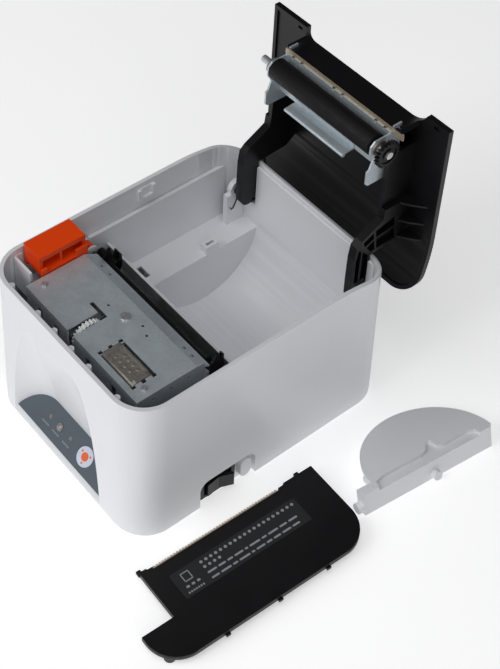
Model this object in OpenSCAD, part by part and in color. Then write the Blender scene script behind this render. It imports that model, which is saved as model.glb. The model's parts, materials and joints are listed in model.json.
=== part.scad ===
// Desktop thermal receipt printer with its rear-hinged lid standing open.
// Origin: on the table under the middle of the housing. +Z up, front faces -Y, lid hinge at the rear.
// The mechanism, lid and platen are laid out as they sit when the lid is closed, and the lid group
// is then turned about its hinge to the open position.

/* [Housing] */
// Width of the housing at its base
body_w = 148; // [146:1:150]
// Depth of the housing at its base
body_d = 191; // [190:1:192]
// Height of the housing rim above the table
rim_h = 112; // [111:0.5:113]
// How far the rim stands in from the base on each side
draft = 2; // [1.5:0.5:2]
// Radius of the upright corners at the base
corner_r = 22; // [21:1:23]
// Thickness of the moulded walls
wall_t = 2.5; // [2.3:0.1:2.6]
// Gap under the base plate, where the rubber feet stand proud
foot_h = 1; // [0.8:0.1:1.2]

/* [Paper bay] */
// Radius of the trough that the paper roll lies in
roll_r = 43; // [42:0.5:43]
// Half the width of the trough
bay_half_w = 44; // [42:0.5:44]
// Height of the side ledges of the bay
ledge_z = 50; // [48:1:52]

/* [Mechanism] */
// Radius of the rubber platen roller
platen_r = 6.8; // [6.6:0.1:6.8]
// Length of the rubber platen roller
platen_len = 83; // [80:1:83]
// Gear module, pitch diameter over number of teeth
gear_m = 0.8; // [0.8:0.1:0.8]
// Height of the top face of the steel cutter cover
steel_z = 104; // [104:0.5:104.5]

/* [Loose pieces] */
// Height of the skirt of the front cover
cover_h = 9; // [8:0.5:10]
// Height of the spine of the paper divider
spine_h = 15; // [14:1:16]

/* [Hidden] */
$fn = 48;
hull_fn = 64;
thin = 0.01;
run_gap = 0.05;

white = [0.93, 0.93, 0.94];
black = [0.08, 0.08, 0.09];
steel = [0.66, 0.69, 0.72];
orange = [0.93, 0.27, 0.04];
slate = [0.33, 0.37, 0.41];
board_green = [0.08, 0.33, 0.19];

// Front-to-rear and height positions of the turning axes, as [y, z]
hinge = [83.7, 77.7];
platen = [-20.4, 88];
motor_axis = [-53.9, 70];
latch_axis = [-26, 64];
lever_axis = [-30, 93];
drive_axis = [-69, 94];
cutter_axis = [-55, 86.1];
roll_axis = [46, 54];

// Left-to-right stations of the mechanism
plate_l = -48.8;
plate_r = 46.8;
plate_t = 2;
seat_top = 91.8;
gear_x = 50.2;
gear_t = 2.8;
rubber_x = -40.5;
lid_half_w = 71.9;
lid_top = 116;

platen_teeth = 20;
idler_teeth = 32;
pinion_teeth = 12;
cutter_teeth = 28;
rack_pitch = PI * gear_m;

// Gear geometry ------------------------------------------------------------------------------

function pitch_r(teeth) = gear_m * teeth / 2;
function involute(a) = tan(a) - a * PI / 180;
// Half the angle that a tooth fills at radius r, thinned a little for backlash
function tooth_half(teeth, r) =
    let (base_r = pitch_r(teeth) * cos(20), reach = max(r, base_r))
    90 / teeth - 0.11 * gear_m / pitch_r(teeth) * 180 / PI
        + (involute(20) - involute(acos(base_r / reach))) * 180 / PI;
function polar(r, a) = [r * cos(a), r * sin(a)];
function angle_of(v) = atan2(v.y, v.x);
// Turn of a gear so that its gap meets the tooth of its neighbour, which is turned by phase
function mesh_turn(phase, teeth, beta, mate_teeth) =
    let (pitch = 360 / teeth, lag = (beta - phase) - pitch * floor((beta - phase) / pitch))
    beta + 180 + lag * teeth / mate_teeth + 180 / mate_teeth;
// Where two circles of radii ra and rb about a and b cross, on the side towards the rear and top
function circle_cross(a, b, ra, rb) =
    let (d = norm(b - a), u = (b - a) / d, along = (ra * ra - rb * rb + d * d) / (2 * d),
         off = sqrt(ra * ra - along * along))
    a + along * u + off * [u.y, -u.x];

mesh_gap = 0.15;
idler_axis = circle_cross(platen, motor_axis,
    pitch_r(platen_teeth) + pitch_r(idler_teeth) + mesh_gap,
    pitch_r(idler_teeth) + pitch_r(pinion_teeth) + mesh_gap);
idler_phase = angle_of(platen - idler_axis);
platen_phase = mesh_turn(idler_phase, idler_teeth, idler_phase, platen_teeth);
pinion_phase = mesh_turn(idler_phase, idler_teeth, angle_of(motor_axis - idler_axis), pinion_teeth);
// The small cutter pinion has a tooth pointing straight up, into a gap of the rack
cutter_phase = 90;
drive_phase = mesh_turn(cutter_phase, cutter_teeth, angle_of(drive_axis - cutter_axis), pinion_teeth);

module gear_outline(teeth) {
    tip_r = pitch_r(teeth) + 0.8 * gear_m;
    root_r = pitch_r(teeth) - 1.2 * gear_m;
    radii = [root_r - 0.1, pitch_r(teeth) - 0.4 * gear_m, pitch_r(teeth), tip_r];
    circle(root_r);
    for (k = [0 : teeth - 1])
        rotate(k * 360 / teeth)
            polygon(concat(
                [for (r = radii) polar(r, -tooth_half(teeth, r))],
                [for (i = [len(radii) - 1 : -1 : 0]) polar(radii[i], tooth_half(teeth, radii[i]))]));
}

// Placing helpers ----------------------------------------------------------------------------

// Extrude an outline drawn in [y, z] along X from x0 to x1
module along_x(x0, x1) {
    translate([x0, 0, 0]) rotate([90, 0, 90]) linear_extrude(x1 - x0) children();
}

module at(axis) {
    translate(axis) children();
}

// A rod along X
module rod(axis, r, x0, x1) {
    along_x(x0, x1) at(axis) circle(r);
}

module box(x, y, z) {
    translate([x[0], y[0], z[0]]) cube([x[1] - x[0], y[1] - y[0], z[1] - z[0]]);
}

// Turn the closed lid group about the hinge to its open position
module lid_open() {
    translate([0, hinge.x, hinge.y]) rotate([-90, 0, 0]) translate([0, -hinge.x, -hinge.y]) children();
}

module rounded(w, d, r) {
    square([w - 2 * r, d], center = true);
    square([w, d - 2 * r], center = true);
    for (x = [-1, 1], y = [-1, 1])
        translate([x * (w / 2 - r), y * (d / 2 - r)]) circle(r);
}

// A slot outline with round ends, taller than wide
module pill(w, h) {
    square([w, h - w], center = true);
    for (y = [-1, 1]) translate([0, y * (h - w) / 2]) circle(w / 2);
}

module screw(head_r, head_h, shank_r, shank_l) {
    difference() {
        cylinder(r = head_r, h = head_h);
        translate([0, 0, head_h - 0.8]) box([-0.3, 0.3], [-head_r * 0.6, head_r * 0.6], [0, 1]);
        translate([0, 0, head_h - 0.8]) box([-head_r * 0.6, head_r * 0.6], [-0.3, 0.3], [0, 1]);
    }
    translate([0, 0, -shank_l]) cylinder(r = shank_r, h = shank_l + thin);
}

// A round wire swept along points, as one closed polyhedron
module wire(points, r, sides = 6) {
    n = len(points);
    rings = [for (i = [0 : n - 1])
        let (before = points[max(i - 1, 0)], after = points[min(i + 1, n - 1)],
             t = (after - before) / norm(after - before),
             guide = abs(t.x) > 0.9 ? [0, 1, 0] : [1, 0, 0],
             a = cross(t, guide) / norm(cross(t, guide)), b = cross(t, a))
        for (k = [0 : sides - 1]) points[i] + r * (cos(k * 360 / sides) * a + sin(k * 360 / sides) * b)];
    side_faces = [for (i = [0 : n - 2], k = [0 : sides - 1], half = [0, 1])
        let (a = i * sides + k, b = i * sides + (k + 1) % sides, c = a + sides, d = b + sides)
        half == 0 ? [a, b, d] : [a, d, c]];
    caps = [[for (k = [sides - 1 : -1 : 0]) k], [for (k = [0 : sides - 1]) (n - 1) * sides + k]];
    polyhedron(points = rings, faces = concat(side_faces, caps), convexity = 6);
}

// Points of a coil about the Z axis
function coil(r, h, turns, steps = 10) =
    [for (i = [0 : turns * steps]) [r * cos(i * 360 / steps), r * sin(i * 360 / steps), h * i / (turns * steps)]];

// Housing ------------------------------------------------------------------------------------

front_y = -body_d / 2 + draft;
niche_x = -6;
niche_r = 25;
niche_half = 19.4;
niche_back = 14.5;
niche_floor_z = 5;
niche_lean = 11.4;
pocket_y = [-50, -9];
pocket_top = 22;
panel_x = 70;
boss_at = [[-60, 16], [60, 16], [-62, 66], [62, 66], [-58, -70], [58, -70]];
feet_at = [[-56, -56], [56, -56], [-54, 78], [54, 78]];
boss_top = 30;
rear_drop_r = 130;

function half_w(z) = body_w / 2 - draft * (z - foot_h) / (rim_h - foot_h);
function half_d(z) = body_d / 2 - draft * (z - foot_h) / (rim_h - foot_h);

module slab(z, inset) {
    translate([0, 0, z])
        linear_extrude(thin)
            rounded(2 * (half_w(z) - inset), 2 * (half_d(z) - inset), corner_r - inset, $fn = hull_fn);
}

module tub(z0, z1, inset) {
    hull() {
        slab(z0, inset);
        slab(z1 - thin, inset);
    }
}

// The leaning scoop in the front face, grown by g on every side
module niche(g) {
    intersection() {
        translate([niche_x, front_y + niche_back, niche_floor_z + niche_back])
            rotate([niche_lean, 0, 0])
                translate([0, 0, -40]) linear_extrude(160) {
                    translate([0, -niche_r]) {
                        for (x = [-niche_half, niche_half]) translate([x, 0]) circle(niche_r + g);
                        translate([-niche_half, 0]) square([2 * niche_half, niche_r + g]);
                        translate([-niche_half - niche_r - g, -30]) square([2 * (niche_half + niche_r + g), 30]);
                    }
                }
        translate([-80, front_y, niche_floor_z])
            rotate([45, 0, 0]) translate([0, -20, -g]) cube([140, 140, 120]);
    }
}

// Everything above the rim line, which falls away to the rear
module above_rim() {
    along_x(-body_w, body_w)
        difference() {
            translate([45, rim_h - 20]) square([80, 60]);
            translate([45, rim_h - rear_drop_r]) circle(rear_drop_r, $fn = 96);
        }
}

module pocket(g) {
    along_x(panel_x - g, body_w) {
        mid = (pocket_y[0] + pocket_y[1]) / 2;
        w = pocket_y[1] - pocket_y[0];
        translate([mid, 0]) rounded(w + 2 * g, 2 * (pocket_top + g), 7 + g);
    }
}

module housing() {
    color(white) difference() {
        union() {
            difference() {
                tub(foot_h, rim_h, 0);
                tub(foot_h - 1, rim_h + 1, wall_t);
            }
            intersection() {
                tub(foot_h, rim_h, wall_t / 2);
                union() {
                    niche(wall_t);
                    pocket(2);
                }
            }
            // Pillars for the base screws and the paper bucket, each tied to the nearest wall
            for (b = boss_at) {
                top = b.y > 0 ? ledge_z - bucket_t - 0.1 : boss_top;
                wall_x = sign(b.x) * (half_w(top) - wall_t / 2);
                translate([b.x, b.y, 5]) cylinder(r = 4, h = top - 5);
                if (b.y > 0) translate([b.x, b.y, top - 1]) cylinder(r = 1.4, h = 2);
                box([min(b.x, wall_x), max(b.x, wall_x)], [b.y - 1, b.y + 1], [5, top - 2]);
            }
            // Small pegs behind the front rim that hold the front cover
            for (x = [-50, -24, -8, 8, 24, 50])
                translate([x, front_y + wall_t + 1.4, 97]) cylinder(r = 1.9, h = 13);
            // Catches for the lid, one on each side wall
            for (s = [-1, 1])
                box([s > 0 ? 67.2 : -70.2, s > 0 ? 70.2 : -67.2], [13, 26], [99, 108]);
        }
        niche(0);
        pocket(0);
        above_rim();
        // Pockets in the lid catches
        for (s = [-1, 1])
            box([s > 0 ? 66 : -68.8, s > 0 ? 68.8 : -66], [15.5, 23.5], [101.5, 109]);
        for (b = boss_at) translate([b.x, b.y, 4]) cylinder(r = 1.6, h = 16);
        // Switch and feed button openings in the sunk side panel
        box([50, panel_x + 1], [-46.2, -23.8], [3.8, 17.8]);
        along_x(50, panel_x + 1) translate([-16, 11]) pill(8.8, 15.8);
        // Rear openings for the power, data and drawer sockets
        translate([-38, 80, 15]) rotate([-90, 0, 0]) cylinder(r = 6.2, h = 30);
        box([-9.2, 5.2], [80, 110], [9.3, 22]);
        box([18.8, 34.2], [80, 110], [9.3, 23.2]);
        // Light openings in the sloping panel floor
        panel_frame() for (x = [-18.5, -8.4, 2]) translate([x, 10.9, -6]) cylinder(r = 1.6, h = 12);
    }
}

// Coordinates on the sloping floor of the scoop: x from the scoop's middle, y up the slope
module panel_frame() {
    translate([niche_x, front_y, niche_floor_z]) rotate([45, 0, 0]) children();
}

board_z = 7.8;
board_posts = [[-50, -20], [50, -20], [-50, 14], [50, 14], [-46, 80], [46, 80]];

module base_plate() {
    inset = wall_t + 0.3;
    color(white) difference() {
        union() {
            translate([0, 0, foot_h])
                linear_extrude(2.4)
                    rounded(2 * (half_w(4) - inset), 2 * (half_d(4) - inset), corner_r - inset);
            // Low rim round the plate, level with the rubber feet
            linear_extrude(foot_h + thin) difference() {
                rounded(2 * (half_w(4) - inset), 2 * (half_d(4) - inset), corner_r - inset);
                rounded(2 * (half_w(4) - inset - 3), 2 * (half_d(4) - inset - 3), corner_r - inset - 3);
            }
            // Stand-offs for the two circuit boards
            for (p = board_posts)
                translate([p.x, p.y, foot_h + 2]) cylinder(r = 3, h = board_z - foot_h - 2);
        }
        for (p = feet_at) translate([p.x, p.y, 0]) cylinder(r = 7.2, h = foot_h + 1.2);
        for (b = boss_at) {
            translate([b.x, b.y, 0]) cylinder(r = 1.8, h = 6);
            translate([b.x, b.y, 0]) cylinder(r = 3.6, h = foot_h + 1.4);
        }
        // Room for the front scoop and the side pocket
        niche(wall_t + 0.3);
        pocket(2.3);
        // Cooling slots
        for (k = [-4 : 4]) box([k * 8 - 1.5, k * 8 + 1.5], [26, 64], [0, 6]);
    }
}

module rubber_feet() {
    color(black)
        for (p = feet_at) translate([p.x, p.y, 0]) {
            cylinder(r1 = 6.2, r2 = 7, h = 0.8);
            translate([0, 0, 0.8]) cylinder(r = 7, h = foot_h + 0.4);
        }
}

module base_screws() {
    color(steel)
        for (b = boss_at) translate([b.x, b.y, foot_h + 1.4]) rotate([180, 0, 0]) screw(3.2, 1.2, 1.5, 12);
}

// Paper bucket -------------------------------------------------------------------------------

bucket_t = 1.8;
ramp_top = [-10, 80];
bucket_rim = 92;
bucket_half = 68.8;
lug_x = [57.2, 60.8];
pin_r = 2.5;
ramp_turn = asin(roll_r / norm(roll_axis - ramp_top)) - angle_of(roll_axis - ramp_top);
ramp_normal = [-sin(ramp_turn), -cos(ramp_turn)];
ramp_dir = [cos(ramp_turn), -sin(ramp_turn)];
ramp_foot = ramp_top + ramp_dir * sqrt(pow(norm(roll_axis - ramp_top), 2) - roll_r * roll_r);

// Side view of the space inside the bay, grown by g
module bay_outline(g) {
    at(roll_axis) circle(roll_r + g, $fn = 96);
    rear = roll_axis.x + roll_r + g;
    polygon([ramp_top + g * ramp_normal, ramp_foot + g * ramp_normal, [rear, roll_axis.y],
        [rear, 130], [ramp_top.x + g * ramp_normal.x, 130]]);
}

module paper_bucket() {
    t = bucket_t;
    color(white) {
        difference() {
            union() {
                // Trough and ramp across the middle, closed by the bay's side walls
                intersection() {
                    along_x(-bay_half_w - t, bay_half_w + t) bay_outline(t);
                    box([-80, 80], [-30, 100], [0, ledge_z]);
                }
                // Wide upper part, from the ledges up
                intersection() {
                    along_x(-bucket_half, bucket_half) bay_outline(t);
                    union() {
                        box([-80, 80], [-30, 100], [ledge_z - t, bucket_rim]);
                        box([-80, 80], [roll_axis.x + roll_r - 5, 100], [bucket_rim - 1, 100.4]);
                    }
                }
            }
            along_x(-bay_half_w, bay_half_w) bay_outline(0);
            intersection() {
                along_x(-bucket_half + t, bucket_half - t) bay_outline(0);
                box([-80, 80], [-30, 100], [ledge_z, 140]);
            }
            box([-80, 80], [-30, 1], [ramp_top.y, 140]);
            // Blind holes under the ledges for the pegs of the housing's pillars
            for (b = boss_at) if (b.y > 0) translate([b.x, b.y, 40]) cylinder(r = 1.6, h = ledge_z - 40.5);
            // Slots in the rear wall for the lid arms
            for (s = [-1, 1])
                box([s > 0 ? arm_x - 0.4 : -arm_x - arm_t - 0.4, s > 0 ? arm_x + arm_t + 0.4 : -arm_x + 0.4],
                    [roll_axis.x + roll_r - 1, 92], [68, 140]);
            // Rear corners, which follow the housing
            difference() {
                box([-80, 80], [60, 100], [0, 140]);
                translate([0, 0, -1]) linear_extrude(150) rounded(2 * 69.2, 2 * 90.9, 19.2);
            }
            // Finger pocket at the front end of each ledge
            for (s = [-1, 1])
                box([s > 0 ? 52 : -62, s > 0 ? 62 : -52], [4.5, 10], [ledge_z - 4, ledge_z + 1]);
        }
        // Side walls carried forward beside the mechanism
        for (s = [-1, 1])
            box([s > 0 ? bucket_half - t : -bucket_half, s > 0 ? bucket_half : -bucket_half + t],
                [-24, 3], [70, bucket_rim]);
        // Lip that closes the gap to the housing walls
        for (s = [-1, 1])
            box([s > 0 ? bucket_half - 0.2 : -bucket_half - 0.7, s > 0 ? bucket_half + 0.7 : -bucket_half + 0.2],
                [-24, 76], [bucket_rim - 2, bucket_rim]);
        // Upright lugs that carry the hinge pins
        for (s = [-1, 1])
            along_x(s > 0 ? lug_x[0] : -lug_x[1], s > 0 ? lug_x[1] : -lug_x[0])
                difference() {
                    union() {
                        at(hinge) circle(6.2);
                        translate([hinge.x - 9, ledge_z - 1]) square([14.2, hinge.y - ledge_z - 2]);
                    }
                    at(hinge) circle(pin_r + run_gap);
                }
        // Catch for the paper divider on each ledge
        for (s = [-1, 1])
            difference() {
                box([s > 0 ? bay_half_w + 0.2 : -bay_half_w - 6, s > 0 ? bay_half_w + 6 : -bay_half_w - 0.2],
                    [48, 58], [ledge_z - 1, ledge_z + 6]);
                box([s > 0 ? bay_half_w + 2 : -bay_half_w - 4, s > 0 ? bay_half_w + 4 : -bay_half_w - 2],
                    [50, 56], [ledge_z + 1.5, ledge_z + 7]);
            }
    }
}

// Control panel, boards and sockets ----------------------------------------------------------

led_x = [-18.5, -8.4, 2];
led_y = 10.9;

module control_panel() {
    color(slate) difference() {
        intersection() {
            niche(-0.05);
            panel_frame() box([-60, 60], [0.6, 40], [0, 0.9]);
        }
        panel_frame() {
            for (i = [0, 1, 2])
                translate([led_x[i], led_y, -1]) cylinder(r = i == 1 ? 2.6 : 1.5, h = 4);
        }
    }
}

module status_lenses() {
    color([0.5, 0.4, 0.4]) panel_frame()
        for (i = [0, 1, 2]) translate([led_x[i], led_y, 0]) {
            translate([0, 0, -2]) cylinder(r = 1.4, h = 2.6);
            if (i == 1) {
                cylinder(r = 2.4, h = 1.1);
                translate([0, 0, 1.1]) intersection() {
                    translate([0, 0, -3.2]) sphere(r = 4);
                    translate([-5, -5, 0]) cube(10);
                }
            }
        }
}

module panel_badge() {
    color([0.9, 0.92, 0.97]) panel_frame() translate([18, 10.4, 0.9]) cylinder(r = 6.2, h = 0.4);
}

module main_board() {
    color(board_green) difference() {
        union() {
            box([-56, 52], [-25, 19], [board_z, 9.4]);
            box([-30, -16], [-12, 2], [9.39, 11]);
            box([-6, 4], [-16, -8], [9.39, 10.8]);
            for (x = [14, 26, 38]) translate([x, -16, 9.39]) cylinder(r = 4, h = 8);
            box([20, 44], [2, 8], [9.39, 13.6]);
            box([-46, -22], [8, 13], [9.39, 13]);
        }
        for (p = board_posts) if (p.y < 40) translate([p.x, p.y, 7]) cylinder(r = 1.6, h = 4);
    }
}

module interface_board() {
    color(board_green) difference() {
        box([-50, 50], [75, 90], [board_z, 9.3]);
        for (p = board_posts) if (p.y > 40) translate([p.x, p.y, 7]) cylinder(r = 1.6, h = 4);
    }
}

module power_inlet() {
    color(black) difference() {
        union() {
            box([-44, -32], [79, 91], [9.3, 21]);
            translate([-38, 90.9, 15]) rotate([-90, 0, 0]) cylinder(r = 6, h = 4);
        }
        difference() {
            translate([-38, 84, 15]) rotate([-90, 0, 0]) cylinder(r = 4.7, h = 20);
            for (a = [90, 210, 330])
                translate([-38 + 2.3 * cos(a), 83, 15 + 2.3 * sin(a)]) rotate([-90, 0, 0]) cylinder(r = 0.6, h = 5);
        }
    }
}

module usb_port() {
    color(steel) {
        difference() {
            box([-8.6, 4.6], [78, 94.2], [9.3, 21.2]);
            box([-6.4, 2.4], [84, 100], [11.3, 19.2]);
        }
        box([-4.6, 0.6], [83.9, 92], [14, 17.2]);
    }
}

module drawer_port() {
    color(black) difference() {
        box([19.2, 33.8], [79.4, 94.2], [9.3, 22.4]);
        box([21, 32], [83, 100], [12, 19]);
        box([24.5, 28.5], [83, 100], [18.9, 20.9]);
    }
}

rocker_y = -35;

module switch_body() {
    color(black) difference() {
        union() {
            box([panel_x, panel_x + 1.2], [-47.6, -22.4], [2.6, 18.4]);
            box([panel_x - 14, panel_x + 0.1], [-46, -24], [4, 17.6]);
        }
        box([panel_x - 5.6, panel_x + 3], [-45, -25], [5, 16.6]);
        translate([panel_x, rocker_y, 4.3]) cylinder(r = 1.2 + run_gap, h = 13);
    }
}

module power_rocker() {
    // Seen from above: two shallow wings that meet over the pivot
    color(black) translate([panel_x, rocker_y, 0]) {
        translate([0, 0, 5.4])
            linear_extrude(10.8)
                polygon([[-3, -4.6], [1.5, -8.9], [3.2, -8.8], [2.2, 0], [5.6, 8.6], [4.4, 8.8], [-3, 4.6]]);
        translate([0, 0, 4.5]) cylinder(r = 1.2, h = 12.6);
    }
}

module feed_button() {
    color(white) union() {
        along_x(panel_x - 4, panel_x + 3.6) translate([-16, 11]) pill(8, 15);
        along_x(panel_x - 4.2, panel_x - 2.3) translate([-16, 11]) pill(11.4, 14.2);
    }
}

module feed_switch() {
    color(board_green) {
        box([panel_x - 10.6, panel_x - 9.2], [-22, -10], [foot_h + 2.5, 19]);
        box([panel_x - 9.21, panel_x - 8.4], [-18.5, -13.5], [8.5, 13.5]);
    }
}

module button_spring() {
    color(steel) translate([panel_x - 4.55, -16, 11]) rotate([0, -90, 0]) wire(coil(2, 3.6, 4), 0.3);
}

// Mechanism ----------------------------------------------------------------------------------

module chassis_plate_outline() {
    difference() {
        polygon([[-77, 64], [-77, 102.6], [-41, 102.6], [-33.5, 97.6], [-33.5, seat_top], [-17, seat_top],
            [-15, seat_top - 2], [-15, 80], [-18.5, 74], [-22, 70], [-22, 56.5], [-70, 56.5]]);
        at(latch_axis) circle(2 + run_gap);
        seat_slot();
    }
}

// Slot, open at the top, that the platen shaft drops into when the lid is shut
module seat_slot() {
    at(platen) circle(3.1);
    translate([platen.x - 3.1, platen.y]) square([6.7, 10]);
}

module mechanism_chassis() {
    color(black) difference() {
        union() {
            along_x(plate_l, plate_l + plate_t) chassis_plate_outline();
            along_x(plate_r, plate_r + plate_t) chassis_plate_outline();
            // Broad block round the seat at the left end
            along_x(plate_l - 3.4, plate_l + 0.1) difference() {
                polygon([[-29.6, 84], [-29.6, seat_top], [-17, seat_top], [-15, seat_top - 2], [-15, 82]]);
                seat_slot();
            }
            box([plate_l + 1, plate_r + 1], [-69, -23], [56.5, 58.4]);
            box([plate_l + 1, plate_r + 1], [-42.4, -40.4], [57, 93.6]);
            // Slide rails for the blade
            box([plate_l + 1, -42.9], [-77, -36], [94.2, 95.6]);
            box([43.6, plate_r + 1], [-60.5, -36], [94.2, 95.6]);
            // Legs down to the base plate
            for (x = [-44, 42], y = [-62, -31]) translate([x, y, foot_h + 2.4]) cylinder(r = 3, h = 54);
        }
        rod(motor_axis, 2.6, plate_r - 1, plate_r + 4);
        rod(idler_axis, 1.5, plate_r - 1, plate_r + 4);
        // Gap in the cross wall for the rack of the blade
        box([3.7, 7.9], [-43, -40], [89.6, 94]);
        // Window in the left end plate
        along_x(plate_l - 1, plate_l + 4) translate([-60, 76]) rounded(16, 14, 3);
    }
}

module guide_bar() {
    color(black) difference() {
        along_x(-43.6, 51.5) {
            translate([-31.5, seat_top]) square([3.5, 95.4 - seat_top]);
            translate([-31.5, 92.6]) square([5.2, 2]);
            translate([-27.3, 94.4]) circle(1);
        }
        // Room for the top of the print head
        along_x(-45, 50) translate([-32, 90.6]) square([3, 1.4]);
        // Room for the idler gear and the platen gear at the right end
        along_x(48.9, 52) translate([-33, 90]) square([8, 3.5]);
        along_x(48.9, 52) translate([-29.8, 90]) square([4, 6]);
    }
}

module print_head() {
    color([0.35, 0.3, 0.25]) along_x(-41, 44) polygon([[-30.6, 79], [-28, 80], [-27.6, 86.6], [-27.6, 90.6],
        [-30.6, 91.3]]);
}

module head_heatsink() {
    color([0.75, 0.76, 0.78]) {
        box([-41, 44], [-33.4, -30.6], [72, 91.3]);
        for (x = [-38 : 6 : 40]) box([x, x + 1.2], [-35.6, -33.3], [73, 90]);
    }
}

module head_springs() {
    color(steel) for (x = [-20, 22])
        translate([x + 1.8, -40, 82]) rotate([-90, 0, 0]) wire(coil(2, 3.9, 3), 0.35);
}

module feed_motor() {
    color(steel) difference() {
        union() {
            rod(motor_axis, 10, 28, plate_r - 0.8);
            along_x(plate_r - 0.8, plate_r - thin) at(motor_axis) rounded(22.6, 12, 4);
        }
        rod(motor_axis, 1.5 + run_gap, 30, plate_r + 1);
    }
}

module motor_pinion() {
    color([0.9, 0.88, 0.8]) {
        along_x(gear_x, gear_x + gear_t) at(motor_axis) rotate(pinion_phase) gear_outline(pinion_teeth);
        rod(motor_axis, 1.5, 31, gear_x + 0.1);
    }
}

module idler_gear() {
    color([0.92, 0.92, 0.9]) difference() {
        union() {
            along_x(gear_x, gear_x + gear_t) at(idler_axis) rotate(idler_phase) gear_outline(idler_teeth);
            rod(idler_axis, 3, gear_x - 0.3, gear_x + gear_t + 0.3);
        }
        rod(idler_axis, 1.5 + run_gap, gear_x - 2, gear_x + 6);
        for (a = [0 : 60 : 300])
            along_x(gear_x - 1, gear_x + 4) at(idler_axis + polar(7, a)) circle(2);
    }
}

module idler_pin() {
    color(steel) {
        rod(idler_axis, 1.48, plate_r, gear_x + gear_t + 0.5);
        rod(idler_axis, 2.4, gear_x + gear_t + 0.4, gear_x + gear_t + 1.2);
    }
}

// Cutter -------------------------------------------------------------------------------------

blade_z = 96;
blade_x = [-44.3, 45.4];
blade_edge = -35;
wheel_x = [-7, -3.6];
wheel_r = 10.2;
cover_screws = [[4, -50], [-43.5, -72], [50.5, -72]];

module cutter_frame() {
    color(steel) difference() {
        union() {
            box([plate_l + 2.2, plate_r - 0.2], [-78, -43.2], [80.4, 81.4]);
            box([-1.6, -0.6], [-75, -49], [81.3, 99]);
            box([8.2, 9.2], [-61, -49], [81.3, 92]);
            box([15.8, 16.8], [-77, -60], [81.3, 102]);
        }
        rod(drive_axis, 1.5 + run_gap, -3, 18);
        rod(cutter_axis, 1.5 + run_gap, -3, 12);
        // Clearance for the gear and the feed motor
        box([-0.3, 4.4], [-69, -42], [80, 82]);
        box([4.3, 7.6], [-61, -49], [80, 82]);
        box([-8, -2.6], [-80.2, -57.5], [80, 82]);
    }
}

module cutter_motor() {
    color([0.45, 0.44, 0.41]) difference() {
        union() {
            along_x(17, 45) translate([drive_axis.x, drive_axis.y]) rounded(15, 20.4, 4);
            box([19.5, 42.5], [-75, -63], [104, 104.5]);
            rod(drive_axis, 3.4, 16.85, 18);
        }
        rod(drive_axis, 1.5 + run_gap, 14, 30);
        box([21, 41], [-73.6, -64.4], [104.2, 105]);
    }
}

module cutter_drive() {
    color(white) {
        difference() {
            along_x(wheel_x[0], wheel_x[1]) at(drive_axis) {
                circle(wheel_r - 1.4);
                for (k = [0 : 23])
                    rotate(k * 15) translate([wheel_r - 2, 0]) {
                        translate([0, -0.65]) square([1.4, 1.3]);
                        translate([1.35, 0]) circle(0.65, $fn = 16);
                    }
            }
            for (a = [0 : 90 : 270])
                along_x(wheel_x[0] - 1, wheel_x[1] + 1) at(drive_axis + polar(5, a)) circle(1.6);
        }
        along_x(0, 3.9) at(drive_axis) rotate(drive_phase) gear_outline(pinion_teeth);
        rod(drive_axis, 1.5, -7.5, 26);
    }
}

module cutter_gear() {
    color([0.92, 0.92, 0.88]) {
        along_x(0.4, 3.6) at(cutter_axis) rotate(cutter_phase) gear_outline(cutter_teeth);
        along_x(3.5, 7.2) at(cutter_axis) rotate(cutter_phase) gear_outline(pinion_teeth);
        rod(cutter_axis, 1.5, -2.6, 9.8);
    }
}

module moving_blade() {
    rack_line = cutter_axis.y + pitch_r(pinion_teeth);
    gap = rack_pitch / 4 + 0.11 * gear_m;
    color([0.78, 0.8, 0.82]) {
        difference() {
            box(blade_x, [-78.5, blade_edge], [blade_z, blade_z + 1]);
            box([-8.4, 4.1], [-80, -42.6], [blade_z - 1, blade_z + 2]);
            box([14.5, 60], [-80, -60], [blade_z - 1, blade_z + 2]);
            box([-60, -30], [-80, -66], [blade_z - 1, blade_z + 2]);
            // Shallow V of the cutting edge
            translate([0.2, blade_edge, blade_z - 1]) linear_extrude(3) polygon([[-45, 0.1], [0, -3.4], [45, 0.1]]);
        }
        // Rack under the plate
        along_x(4.5, 7.1) difference() {
            translate([-66, rack_line - 0.8 * gear_m]) square([17, blade_z - rack_line + 0.8 * gear_m + thin]);
            for (k = [-6 : 6])
                translate([cutter_axis.x + k * rack_pitch, rack_line])
                    polygon([[-gap - 0.6, -1.2], [gap + 0.6, -1.2], [gap - 0.45, 1.2 * gear_m],
                        [-gap + 0.45, 1.2 * gear_m]]);
        }
    }
}

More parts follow.
